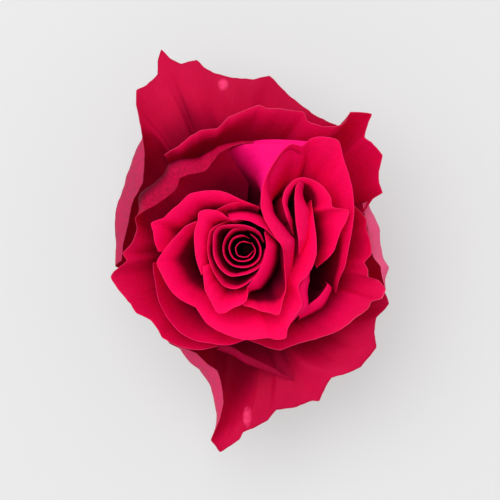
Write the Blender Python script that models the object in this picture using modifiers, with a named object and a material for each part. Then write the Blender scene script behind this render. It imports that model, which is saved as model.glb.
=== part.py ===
"""A picked rose bloom, fully open, seen best from straight above.

Two pieces: the bloom, whose petals all grow from one small heart, and the calyx, which is the green
receptacle with its five turned-down sepals and the short cut end of the stem.

The flower stands upright on the cut end, which is flat and lies at z = 0. +Z points up, out of the
flower's face, and the stem's axis is the Z axis. Petal sizes below are in millimetres.

Each petal is one open surface given thickness. Its rim is drawn in plan, anticlockwise as seen from
above, by its own points, and every rim point is joined to the petal's root by a cubic curve. Lips say
how that curve arrives at the rim: its height, its lean and its reach. A lean of 0 is upright, 90 lies
flat outwards, and a negative lean curls in over the flower.
"""
import math

import bmesh
import bpy
import numpy as np

MM = 0.001

# Driving dimensions, in millimetres
PETAL_THICKNESS = 0.7
PETAL_ROWS = (0.0, 0.3, 0.55, 0.78, 1.0)

STEM_RADIUS = 3.2
STEM_LENGTH = 5.0
HIP_RADIUS = 7.6
HIP_HEIGHT = 10.5
RECEPTACLE_TOP = 14.2
RECEPTACLE_RIM = 6.4
TOUCH_GAP = 0.3

# The bud-shaped core that the petals stand out of, as (radius, height)
HEART_PROFILE = [(0, 40), (2.6, 37), (4.6, 31), (5.6, 25), (6.2, 19),
                 (5.8, RECEPTACLE_TOP + TOUCH_GAP + 0.8), (5.0, RECEPTACLE_TOP + TOUCH_GAP),
                 (0, RECEPTACLE_TOP + TOUCH_GAP)]
HEART_STEPS = 12

# The receptacle and the cut stem, as (radius, height)
CALYX_PROFILE = [(0, RECEPTACLE_TOP), (RECEPTACLE_RIM - 0.6, RECEPTACLE_TOP),
                 (RECEPTACLE_RIM, RECEPTACLE_TOP - 0.8), (HIP_RADIUS - 0.3, HIP_HEIGHT + 1.6),
                 (HIP_RADIUS, HIP_HEIGHT), (HIP_RADIUS - 0.9, HIP_HEIGHT - 2.4),
                 (STEM_RADIUS + 1.1, STEM_LENGTH + 0.9), (STEM_RADIUS, STEM_LENGTH - 0.6),
                 (STEM_RADIUS, 0), (0, 0)]
CALYX_STEPS = 20

# Sepals: the middle runs along a curve of (radius, height) from the receptacle's rim to the ground
SEPAL_COUNT = 5
SEPAL_THICKNESS = 1.0
SEPAL_WIDTH = 8.0
SEPAL_TURN = 20.0
SEPAL_CURVE = [(4.6, 12.4), (11.0, 15.2), (19.0, 12.5), (24.0, SEPAL_THICKNESS / 2)]
SEPAL_CUPPING = 0.06
SEPAL_COLUMNS = 8
SEPAL_ROWS = 5

ROSE_RED = (0.62, 0.005, 0.085, 1.0)
SEPAL_GREEN = (0.10, 0.19, 0.045, 1.0)

# Each petal: rim points (x, y); lips (share of the rim, height, lean, reach); root angles; foot radius
# and height; belly (share, lean, reach), how the petal leaves its root; heart, the point that its lips
# lean away from, which may change along the rim, as (share, x, y); foot centre, where it differs.
OUTER_FOOT = (4.8, 16.0)
INNER_FOOT = (3.4, 23.0)
HEART_FOOT = (2.7, 26.0)
MIDDLE = (-2.0, 0.0)
SECOND_FOOT_CENTRE = (4.5, 2.5)

PETALS = {
    "top_guard": dict(
        rim=[(25.5, 34.5), (22, 36), (18, 38), (11.5, 43), (8, 46.5), (5.5, 49), (1, 48), (-5, 48.5),
             (-10.5, 50), (-13, 51.5), (-15, 53.5), (-19.5, 52.5), (-22.5, 54), (-25, 56.5), (-26, 53),
             (-26, 49.5), (-29, 46.5), (-32, 45), (-32, 41), (-30.5, 33.5), (-29.5, 26.5), (-30, 19),
             (-33, 13), (-34, 8), (-35.5, 2), (-36, -3)],
        lips=[(0, 40, 70, 16), (0.25, 36, 90, 22), (0.55, 33, 95, 24), (0.66, 36, 70, 20),
              (0.74, 41, -50, 13), (0.8, 43, -75, 15), (0.9, 43, -75, 13), (1, 42, -60, 9)],
        root=(48, 190), foot=OUTER_FOOT, belly=[(0, 75, 20)], heart=(-5, 15), foot_centre=MIDDLE),
    "east_guard": dict(
        rim=[(38, -11), (37, -7.5), (36.5, -4.5), (34.5, -2), (33.5, 1.5), (33, 5.5), (32, 10), (31.5, 13)
             ],
        lips=[(0, 42, -10, 8), (0.25, 44, -60, 12), (0.7, 46, -70, 13), (1, 46, -50, 9)],
        root=(-25, 30), foot=OUTER_FOOT, belly=[(0, 75, 20)], heart=MIDDLE),
    "bottom_guard": dict(
        rim=[(-18.5, -27.5), (-15, -29), (-12, -32), (-9, -34), (-8, -38), (-7.5, -43), (-8.5, -47.5),
             (-10, -51), (-11, -53.5), (-9.5, -55.5), (-8.5, -57), (-6, -55.5), (-3, -53.5), (-2, -51.5),
             (1.5, -50), (5, -48), (7.5, -45), (12, -44.5), (15, -43.5), (17.5, -42.5), (19.5, -42.5),
             (21, -39), (23, -36), (28, -34.5), (31, -33), (35.5, -27.5), (35, -23), (35.5, -19),
             (37.5, -17), (39, -15), (36.5, -9)],
        lips=[(0, 42, -70, 13), (0.08, 40, -70, 12), (0.18, 37, -62, 9), (0.25, 34, -10, 9),
              (0.31, 32, 60, 16), (0.36, 30, 95, 22), (0.6, 33, 90, 22), (0.8, 37, 80, 18),
              (1, 42, 60, 10)],
        root=(233, 342), foot=OUTER_FOOT, belly=[(0, 75, 20)], heart=(8, -30), foot_centre=MIDDLE),
    "south_lip": dict(
        rim=[(-8.7, -26.6), (-5, -27.3), (-2, -29), (2.2, -31), (6.2, -33), (9.5, -34.9), (12, -36)],
        lips=[(0, 40, -70, 6), (0.4, 37.5, -80, 9), (0.8, 35, -80, 8), (1, 32.5, -80, 6)],
        root=(250, 300), foot=OUTER_FOOT, belly=[(0, 74, 19)], heart=MIDDLE),
    "north_cup": dict(
        rim=[(31.5, 10), (34.5, 14.5), (37, 16), (36, 19), (36, 22), (37, 26.5), (34, 30), (32, 31.5),
             (33, 35.5), (34, 38), (28, 38.5), (26.5, 35.5), (24, 34.5), (20, 34.5), (16, 36), (15, 38.5),
             (11.5, 39), (8, 39.5), (4.5, 39.5), (2.5, 40.5), (-1.5, 39), (-6, 37), (-9, 34),
             (-13.5, 33.5), (-17, 31.5), (-20, 29), (-24, 26.5)],
        lips=[(0, 48, 20, 10), (0.15, 50, 35, 12), (0.35, 51, 40, 12), (0.5, 53, 60, 12),
              (0.65, 54, 84, 8), (0.82, 54, 84, 6), (0.95, 53, 80, 5), (1, 51, 60, 4)],
        root=(8, 132), foot=OUTER_FOOT, belly=[(0, 72, 22), (0.5, 75, 26), (0.66, 79, 32), (1, 79, 32)],
        heart=MIDDLE),
    "west_cup": dict(
        rim=[(1, 30), (-3, 29.5), (-6, 28.5), (-8.5, 27), (-10.5, 24.5), (-12.5, 22), (-17, 21),
             (-19.5, 20), (-20.5, 17), (-23.5, 14.5), (-26.5, 12.5), (-29.5, 11), (-32, 9), (-31.5, 6),
             (-33, 2), (-35.5, -1), (-34.5, -3), (-38, -6), (-39, -7.5), (-37, -11), (-33.5, -15),
             (-32, -17.5), (-28, -19.5), (-26, -22), (-24.5, -24.5), (-21, -26.5), (-18, -27.5),
             (-14, -28), (-9, -27)],
        lips=[(0, 54, -20, 6), (0.1, 55.5, -50, 9), (0.2, 56, -60, 12), (0.34, 54, -60, 13),
              (0.41, 52, 0, 8), (0.47, 50, 58, 12), (0.56, 48.5, 65, 13), (0.62, 46, 76, 13),
              (0.75, 47, 55, 13), (1, 46, 50, 12)],
        root=(85, 262), foot=OUTER_FOOT, belly=[(0, 72, 22)], heart=MIDDLE),
    "south_cup": dict(
        rim=[(-1, -25), (3, -26.5), (5.5, -27.5), (8.5, -28), (12.5, -26.5), (16, -25.5), (19.5, -24.5),
             (24, -23), (26.5, -21.5), (29.5, -19), (33, -16.5), (34, -14.5), (37, -13.5), (38, -11),
             (36, -8.5), (33, -7.5), (33, -5.5), (32, -3.5), (34, -1), (33.5, 3), (32.5, 6), (32.5, 8.5),
             (31, 10.5), (29, 12.5)],
        lips=[(0, 47, 50, 11), (0.3, 48, 60, 14), (0.55, 47, 70, 14), (0.65, 46, 75, 12),
              (0.75, 49, 45, 11), (1, 51, 20, 9)],
        root=(268, 385), foot=OUTER_FOOT, belly=[(0, 70, 20)], heart=MIDDLE),
    "west_inner": dict(
        rim=[(-27, -3.5), (-27, -5.5), (-26.5, -8.5), (-25.5, -14), (-23, -19), (-19.5, -23),
             (-17, -24.5), (-14.5, -25.5), (-11, -26), (-8.5, -26.5), (-5.5, -26.5), (-1, -25)],
        lips=[(0, 53, 15, 8), (0.4, 52, 30, 8), (1, 51, 50, 8)],
        root=(185, 272), foot=(4, 19), belly=[(0, 60, 18)], heart=MIDDLE),
    "east_inner": dict(
        rim=[(13.5, -17.5), (17, -14.8), (19.5, -12.7), (21.6, -9.4), (21, -9)],
        lips=[(0, 50, -50, 5), (0.5, 51, -62, 8), (0.9, 52, -50, 6), (1, 51, -30, 4)],
        root=(300, 335), foot=(6, 20), belly=[(0, 70, 22)], heart=(8, -2), foot_centre=MIDDLE),
    "east_patch": dict(
        rim=[(11.5, -20), (13, -17), (14.3, -14.8), (13.6, -11), (14.4, -8.7), (16.5, -5)],
        lips=[(0, 54, -40, 3), (0.3, 56, -72, 7), (0.7, 56, -72, 7), (1, 56, -40, 3)],
        root=(300, 340), foot=(4, 20), belly=[(0, 50, 18)], heart=(4, -10), foot_centre=MIDDLE),
    "inner_north_west": dict(
        rim=[(5.5, 10.5), (2.5, 12), (0, 13), (-2.5, 14), (-5.5, 15.5), (-8.5, 16.5), (-12.5, 16.5),
             (-17, 15.5), (-19.5, 13), (-22, 11), (-24, 9), (-27.5, 7.5), (-27, 5), (-26.5, 2),
             (-25.5, -0.5)],
        lips=[(0, 56, 10, 4), (0.08, 59, 20, 4), (0.18, 60, 50, 6), (0.32, 60, 82, 10), (0.7, 58, 82, 10),
              (1, 56, 50, 8)],
        root=(65, 188), foot=INNER_FOOT, belly=[(0, 40, 16)], heart=MIDDLE),
    "inner_west": dict(
        rim=[(-15, 8), (-18, 6.5), (-20.5, 4), (-23.5, 0.5), (-26, -3.5), (-25, -6), (-23.5, -9),
             (-21.5, -12), (-19, -14), (-15, -16)],
        lips=[(0, 61, 60, 6), (0.4, 59, 75, 10), (1, 57, 70, 8)],
        root=(145, 235), foot=INNER_FOOT, belly=[(0, 40, 16)], heart=MIDDLE),
    "inner_south": dict(
        rim=[(-15, -16), (-13.5, -18.5), (-12, -20.5), (-9, -22.5), (-5.5, -24), (-2, -25), (1, -25),
             (5, -24.5), (7.5, -25), (10, -24.5), (10.5, -22), (12.5, -18.5), (14.5, -15.5), (13.5, -11),
             (14, -9), (16, -7), (17.5, -4.5), (18.5, -1), (18.5, 3), (18, 7), (17, 14)],
        lips=[(0, 57, 75, 9), (0.2, 57, 85, 12), (0.42, 57, 80, 10), (0.52, 57.5, 72, 10),
              (0.8, 58, 70, 9), (0.93, 58, 50, 7), (1, 55, 20, 5)],
        root=(228, 385), foot=INNER_FOOT, belly=[(0, 40, 16)], heart=MIDDLE),
    "second_whorl": dict(
        rim=[(24, -12), (25, -8), (26.5, -4.5), (27.5, 0.5), (28.5, 6), (29, 11), (28.5, 17), (27.5, 21),
             (26, 25.5), (24.5, 30.5), (20, 31.5), (17, 31), (14.5, 29), (11.5, 29.5), (8.5, 27),
             (5.5, 22.5), (3.5, 18), (3, 15), (3, 12), (4, 8.5), (7, 3.5), (9, 1), (9.5, -3), (9.5, -8),
             (9, -13)],
        lips=[(0, 45, 10, 8), (0.06, 52, 25, 9), (0.22, 56, 45, 12), (0.36, 59, 65, 14),
              (0.45, 60, 60, 13), (0.51, 60, 40, 8), (0.58, 60.5, 20, 7), (0.64, 61.5, 25, 7),
              (0.7, 62.5, 60, 9), (0.73, 62.5, 78, 11), (0.8, 62.5, 82, 15), (0.87, 62, 80, 13),
              (0.9, 58, 70, 11), (1, 54, 60, 9)],
        root=(-60, 230), foot=(4, 20),
        belly=[(0, 55, 18), (0.5, 45, 16), (0.6, 35, 14), (0.7, 15, 12), (1, 5, 12)],
        heart=[(0, 12, -4), (0.2, 15, 4), (0.4, 17, 10), (0.5, 19, 13), (0.62, 19, 14), (0.72, 17, 11),
               (0.8, 15, 6.5), (0.87, 17, 4), (0.92, 20, -2), (1, 20, -8)],
        foot_centre=SECOND_FOOT_CENTRE),
    "second_barrel": dict(
        rim=[(16, 30.2), (14.5, 29), (11.5, 29.4), (8.6, 26.9), (5.6, 22.5), (3.7, 18), (3.3, 15)],
        lips=[(0, 59.5, -80, 26), (0.09, 60, -80, 28), (0.22, 60, -80, 28), (0.4, 60, -80, 16),
              (0.64, 60.5, -76, 7), (0.86, 61.5, -40, 3), (1, 61, -20, 3)],
        root=(118, 84), foot=(4.5, 21),
        belly=[(0, 60, 27), (0.22, 58, 25), (0.4, 48, 22), (0.64, 36, 18), (1, 20, 15)],
        heart=[(0, 34, 28.5), (0.09, 34, 27.6), (0.22, 31, 28.6), (0.4, 28, 26.4), (0.64, 25, 21),
               (1, 20, 16)], foot_centre=SECOND_FOOT_CENTRE),
    "second_inner": dict(
        rim=[(18.5, -5), (22, -2), (23.5, 0), (25, 4.5), (27, 8.5), (27.5, 11), (23, 12), (22.5, 14.5),
             (20.5, 17.5), (17.5, 19.5), (14.3, 20.2), (11.8, 19.2), (9.5, 16.3), (9, 13.6), (9.9, 9.7),
             (11, 7), (12, 4)],
        lips=[(0, 50, 30, 6), (0.08, 54, 50, 7), (0.34, 57, 80, 12), (0.45, 58.5, 72, 8),
              (0.6, 60, 50, 5), (0.68, 61, 50, 5), (0.75, 61, 80, 7), (0.9, 60, 80, 6.5), (1, 55, 40, 4)],
        root=(-50, 200), foot=(2.5, 22), belly=[(0, 50, 14), (0.62, 50, 14), (0.74, 10, 10), (1, 0, 10)],
        heart=(16, 10), foot_centre=SECOND_FOOT_CENTRE),
    "second_fold": dict(
        rim=[(14.3, 19.5), (12.9, 18), (12.4, 15), (12.4, 12.3), (12.7, 7.8), (13.4, 3.2), (13.6, -1.3)],
        lips=[(0, 59, 60, 5), (0.3, 61, 82, 12), (0.55, 61, 80, 10), (0.8, 60, 70, 6), (1, 55, 40, 4)],
        root=(60, -15), foot=(1.5, 23), belly=[(0, 40, 14)], heart=[(0, 20, 14), (1, 22, -1)],
        foot_centre=SECOND_FOOT_CENTRE),
    "heart_west": dict(
        rim=[(-2, 8.6), (-5, 8.5), (-6.2, 9.1), (-7.8, 10.3), (-9.8, 11.1), (-12.6, 11.2), (-14.2, 10.5),
             (-14.6, 8), (-15.5, 5), (-15.5, 2), (-15, -2.5), (-13.5, -7)],
        lips=[(0, 60.5, 30, 3), (0.12, 62, 60, 3), (0.22, 62.6, 82, 6), (0.4, 63, 86, 9),
              (0.75, 62.5, 86, 8), (1, 61.5, 75, 5)],
        root=(80, 212), foot=HEART_FOOT, belly=[(0, 25, 16)], heart=MIDDLE),
    "heart_south": dict(
        rim=[(-13, -4.5), (-13, -7), (-12.5, -11), (-11, -14), (-9, -17.5), (-7, -17.5), (-4.5, -16),
             (-2, -15), (-1, -14), (-0.5, -12)],
        lips=[(0, 62.5, 75, 6), (0.5, 61.5, 86, 9), (1, 62, 70, 5)],
        root=(200, 285), foot=HEART_FOOT, belly=[(0, 25, 16)], heart=MIDDLE),
    "heart_east": dict(
        rim=[(-2, -15.5), (0.5, -16), (3, -17), (5.5, -17.5), (8, -18), (9, -14.5), (10, -10.5),
             (9.7, -5.5), (9.2, 0), (8.4, 1.8), (6.2, 4), (4.5, 5.6), (2, 7), (0, 8), (-2.8, 8.5),
             (-5.5, 8.4)],
        lips=[(0, 60, 84, 3.5), (0.22, 60.5, 84, 3.5), (0.3, 61, 40, 4), (0.36, 61.5, 5, 5),
              (0.6, 62.3, 0, 5), (0.72, 62.5, -20, 6), (0.82, 62.5, -45, 9), (1, 62, -45, 8)],
        root=(270, 480), foot=HEART_FOOT, belly=[(0, 25, 16)], heart=MIDDLE),
    "heart_wrap": dict(
        rim=[(-1, -12), (-0.5, -10), (1, -8), (2.5, -5.5), (3.5, -3), (4, -1), (4.5, 1.5), (4, 5)],
        lips=[(0, 61, -20, 4), (0.25, 62, -60, 8), (0.75, 62.5, -60, 8), (1, 62.5, -20, 4)],
        root=(275, 430), foot=(2.3, 27), belly=[(0, 45, 14)], heart=MIDDLE),
}

# The rolled petals in the very middle: the height of the rim, how wide it is turned out, and its
# turns as (degrees, radius) about this point
SWIRL_CENTRE = (-2.0, 0.0)
SWIRL_TURNS = {
    "swirl_1": (59.0, 1.0, [(30, 3.3), (55, 2.7), (100, 2.4), (160, 2.2), (230, 2.1), (300, 2.3),
                            (345, 2.7), (360, 3.1)]),
    "swirl_2": (59.8, 1.0, [(60, 3.7), (90, 4.2), (130, 4.3), (170, 4.0), (220, 3.6), (267, 3.3),
                            (315, 3.5), (356, 3.6), (400, 3.3)]),
    "swirl_3": (60.6, 1.0, [(75, 5.9), (111, 6.4), (135, 6.1), (169, 5.7), (201, 5.5), (230, 5.3),
                            (263, 5.0), (298, 5.1), (328, 5.3), (357, 5.2), (394, 5.0), (424, 5.0)]),
    "swirl_4": (61.4, 1.6, [(20, 6.4), (50, 6.8), (80, 6.9), (110, 7.6), (135, 9.2), (150, 9.3),
                            (172, 8.4), (194, 8.3), (219, 8.2), (243, 8.1), (261, 7.3),
                            (291, 6.7), (318, 6.7), (342, 6.4), (362, 6.1)]),
    "swirl_5": (62.0, 0.9, [(110, 8.6), (128, 9.5), (148, 10.5), (169, 10.0), (192, 9.8),
                            (213, 10.1), (232, 10.8), (244, 11.3), (258, 11.1), (269, 10.2),
                            (286, 8.8), (302, 7.8), (322, 7.3)]),
}
SWIRL_FOOT_HEIGHT = 34.0
SWIRL_COLUMNS = 11
SWIRL_ROWS = (0.0, 0.5, 0.85, 1.0)


def swirl_petals():
    """The rolled middle: upright petals with narrow turned-out rims, each round the last one."""
    petals = {}
    for name, (height, width, turn) in SWIRL_TURNS.items():
        degrees = np.linspace(turn[0][0], turn[-1][0], SWIRL_COLUMNS)
        radius = np.interp(degrees, [t for t, _ in turn], [r for _, r in turn])
        angle = np.radians(degrees)
        rim = np.column_stack([
            SWIRL_CENTRE[0] + radius * np.cos(angle),
            SWIRL_CENTRE[1] + radius * np.sin(angle),
        ])
        petals[name] = dict(
            rim=rim, lips=[(0, height - 4, 20, width), (0.12, height, 75, width),
                           (0.85, height, 75, width), (1, height - 3, 20, width)],
            root=(turn[0][0], turn[-1][0]), foot=(0.5 * radius.mean(), SWIRL_FOOT_HEIGHT),
            belly=[(0, 10, 14)], heart=SWIRL_CENTRE)
    return petals


def along(points):
    """The share of a polyline's length at each of its points, from 0 to 1."""
    steps = np.linalg.norm(np.diff(points, axis=0), axis=1)
    return np.concatenate([[0.0], np.cumsum(steps)]) / steps.sum()


def stations(rows, share):
    """Values given at some shares of a rim, each row starting with its share, at all these shares."""
    places, *columns = np.asarray(rows, float).T
    return [np.interp(share, places, column) for column in columns]


def petal_grid(petal, rows):
    """Points of a petal's middle surface, in millimetres, as an array (rim points, rows, 3)."""
    rim = np.asarray(petal["rim"], float)
    share = along(rim)
    height, lean, reach = stations(petal["lips"], share)
    lean = np.radians(lean)

    heart = petal["heart"]
    out = rim - (np.column_stack(stations(heart, share)) if isinstance(heart, list) else heart)
    out /= np.linalg.norm(out, axis=1)[:, None]
    end = np.column_stack([rim, height])
    arrive = np.column_stack([out * np.sin(lean)[:, None], np.cos(lean)]) * reach[:, None]

    angle = np.radians(petal["root"][0] + (petal["root"][1] - petal["root"][0]) * share)
    ray = np.column_stack([np.cos(angle), np.sin(angle)])
    radius, foot_height = petal["foot"]
    centre = np.asarray(petal.get("foot_centre", heart), float)
    start = np.column_stack([centre + ray * radius, np.full(len(rim), foot_height)])
    belly_lean, belly_reach = stations(petal["belly"], share)
    belly_lean = np.radians(belly_lean)
    leave = np.column_stack([ray * np.sin(belly_lean)[:, None], np.cos(belly_lean)]) * belly_reach[:, None]

    t = np.asarray(rows)[None, :, None]
    p0, p3 = start[:, None], end[:, None]
    p1, p2 = (start + leave)[:, None], (end - arrive)[:, None]
    return (1 - t) ** 3 * p0 + 3 * (1 - t) ** 2 * t * p1 + 3 * (1 - t) * t ** 2 * p2 + t ** 3 * p3


def material(name, colour, roughness):
    """A Principled material of one plain colour."""
    result = bpy.data.materials.new(name)
    result.use_nodes = True
    shader = result.node_tree.nodes["Principled BSDF"]
    shader.inputs["Base Color"].default_value = colour
    shader.inputs["Roughness"].default_value = roughness
    shader.inputs["Metallic"].default_value = 0.0
    result.diffuse_color = colour
    return result


def collection(name):
    """A new collection, linked to the scene."""
    result = bpy.data.collections.new(name)
    bpy.context.scene.collection.children.link(result)
    return result


def place(mesh, name, target):
    """An object of this mesh, in the target collection."""
    result = bpy.data.objects.new(name, mesh)
    target.objects.link(result)
    return result


def grid_mesh(name, points):
    """An open surface through a grid of points in millimetres, each cell split into two triangles."""
    columns, rows = points.shape[:2]
    corner = np.arange(columns * rows).reshape(columns, rows)
    a, b = corner[:-1, :-1].ravel(), corner[1:, :-1].ravel()
    c, d = corner[1:, 1:].ravel(), corner[:-1, 1:].ravel()
    faces = np.concatenate([np.column_stack([a, b, c]), np.column_stack([a, c, d])])
    mesh = bpy.data.meshes.new(name)
    mesh.from_pydata((points.reshape(-1, 3) * MM).tolist(), [], faces.tolist())
    mesh.validate()
    return mesh


def blade(name, points, thickness, target):
    """A thin closed blade: the surface through the points, given its thickness on both sides."""
    result = place(grid_mesh(name, points), name, target)
    solidify = result.modifiers.new("Thickness", "SOLIDIFY")
    solidify.thickness = thickness * MM
    solidify.offset = 0.0
    return result


def turned(name, profile, steps, target):
    """A closed solid turned about the Z axis; the profile of (radius, height) runs from the top down."""
    mesh = bpy.data.meshes.new(name)
    edges = [(i, i + 1) for i in range(len(profile) - 1)]
    mesh.from_pydata([(r * MM, 0.0, z * MM) for r, z in profile], edges, [])
    result = place(mesh, name, target)
    screw = result.modifiers.new("Turn", "SCREW")
    screw.steps = screw.render_steps = steps
    screw.use_merge_vertices = True
    screw.merge_threshold = 0.00001
    return result


def joined(body, cutters, name, target):
    """The body with everything in the cutters collection fused to it, as one applied mesh."""
    union = body.modifiers.new("Fuse", "BOOLEAN")
    union.operation = "UNION"
    union.operand_type = "COLLECTION"
    union.collection = cutters
    union.solver = "MANIFOLD"
    graph = bpy.context.evaluated_depsgraph_get()
    mesh = bpy.data.meshes.new_from_object(body.evaluated_get(graph))
    for used in list(cutters.objects) + [body]:
        bpy.data.objects.remove(used)
    bpy.data.collections.remove(cutters)
    mesh.name = name
    keep_outer_skin(mesh)
    return place(mesh, name, target)


def keep_outer_skin(mesh):
    """Drops every shell but the largest: a hollow sealed between petals is filled that way."""
    skin = bmesh.new()
    skin.from_mesh(mesh)
    bmesh.ops.triangulate(skin, faces=skin.faces)
    todo, shells = set(skin.faces), []
    while todo:
        shell, found = set(), [next(iter(todo))]
        while found:
            face = found.pop()
            if face not in shell:
                shell.add(face)
                found.extend(next_face for edge in face.edges if len(edge.link_faces) == 2
                             for next_face in edge.link_faces)
        todo -= shell
        shells.append(shell)
    largest = max(shells, key=len)
    bmesh.ops.delete(skin, geom=[face for face in skin.faces if face not in largest], context="FACES")
    skin.to_mesh(mesh)
    skin.free()


def bloom(target):
    """All the petals, fused to a small bud-shaped heart."""
    petals = collection("petals")
    heart = turned("heart", HEART_PROFILE, HEART_STEPS, target)
    for name, petal in PETALS.items():
        blade(name, petal_grid(petal, PETAL_ROWS), PETAL_THICKNESS, petals)
    for name, petal in swirl_petals().items():
        blade(name, petal_grid(petal, SWIRL_ROWS), PETAL_THICKNESS, petals)
    result = joined(heart, petals, "bloom", target)
    result.data.materials.clear()
    result.data.materials.append(material("rose_red", ROSE_RED, 0.55))
    return result


def sepal_grid(turn):
    """A narrow pointed sepal: out from the receptacle's rim, then down to the ground at its tip."""
    along_it = np.linspace(0, 1, SEPAL_COLUMNS)
    across = np.linspace(-1, 1, SEPAL_ROWS)
    path = bezier(SEPAL_CURVE, along_it)
    half = SEPAL_WIDTH / 2 * np.sin(np.pi * (0.22 + 0.76 * along_it)) ** 0.9
    side = half[:, None] * across
    radial = np.repeat(path[:, :1], len(across), axis=1)
    cupped = SEPAL_CUPPING * side ** 2
    height = path[:, 1:] + cupped * ((0.2 + 0.8 * along_it) * (1 - along_it))[:, None]
    cos, sin = math.cos(turn), math.sin(turn)
    return np.dstack([radial * cos - side * sin, radial * sin + side * cos, height])


def bezier(corners, t):
    """Points of a cubic curve through the plane, at the parameters t."""
    p0, p1, p2, p3 = (np.asarray(corner, float) for corner in corners)
    t = np.asarray(t)[:, None]
    return (1 - t) ** 3 * p0 + 3 * (1 - t) ** 2 * t * p1 + 3 * (1 - t) * t ** 2 * p2 + t ** 3 * p3


def calyx(target):
    """The receptacle and the cut stem as one turned solid, with the sepals fused on."""
    sepals = collection("sepals")
    receptacle = turned("receptacle", CALYX_PROFILE, CALYX_STEPS, target)
    for i in range(SEPAL_COUNT):
        turn = math.radians(SEPAL_TURN + 360 / SEPAL_COUNT * i)
        blade(f"sepal_{i}", sepal_grid(turn), SEPAL_THICKNESS, sepals)
    result = joined(receptacle, sepals, "calyx", target)
    result.data.materials.clear()
    result.data.materials.append(material("sepal_green", SEPAL_GREEN, 0.6))
    return result


def main():
    for old in list(bpy.data.objects):
        bpy.data.objects.remove(old)
    rose = collection("rose")
    bloom(rose)
    calyx(rose)


main()
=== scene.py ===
"""The looks of a picked rose bloom: fine petals, a downy calyx, a pale floor and soft studio light.

Petal sizes are in millimetres, in the frame of the solid model: the stem's axis is Z, and the cut end
of the stem stands on z = 0. Object sizes in Blender are in metres.
"""
import math

import bpy
import numpy as np
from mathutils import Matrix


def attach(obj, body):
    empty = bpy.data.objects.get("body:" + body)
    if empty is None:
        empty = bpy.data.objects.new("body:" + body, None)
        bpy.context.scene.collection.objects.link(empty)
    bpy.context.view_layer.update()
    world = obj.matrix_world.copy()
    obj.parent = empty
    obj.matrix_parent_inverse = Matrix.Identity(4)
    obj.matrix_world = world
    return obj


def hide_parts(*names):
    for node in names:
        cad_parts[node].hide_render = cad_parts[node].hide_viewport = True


bl_info = {
    "name": "Rose Bloom",
    "version": (1, 0, 0),
    "blender": (4, 5, 0),
    "location": "3D View > Sidebar > Rose",
    "description": "Builds an open rose bloom, petal by petal, with its calyx and a plain studio",
    "category": "Object",
}

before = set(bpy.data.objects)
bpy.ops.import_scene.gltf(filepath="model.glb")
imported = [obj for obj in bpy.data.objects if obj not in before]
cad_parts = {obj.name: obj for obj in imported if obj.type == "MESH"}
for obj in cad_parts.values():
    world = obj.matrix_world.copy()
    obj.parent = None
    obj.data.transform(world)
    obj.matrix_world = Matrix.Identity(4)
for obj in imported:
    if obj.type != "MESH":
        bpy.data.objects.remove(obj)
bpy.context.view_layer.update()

MM = 0.001
PETAL_NODE = "bloom"
CALYX_NODE = "calyx"

# Points that petals lean away from, and the circles that they grow from: radius and height
MIDDLE = (-2.0, 0.0)
SECOND_HEART = (15.0, 5.5)
SECOND_FOOT_CENTRE = (4.5, 2.5)
OUTER_FOOT = (4.8, 16.0)
INNER_FOOT = (3.4, 23.0)
HEART_FOOT = (2.7, 26.0)

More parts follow.
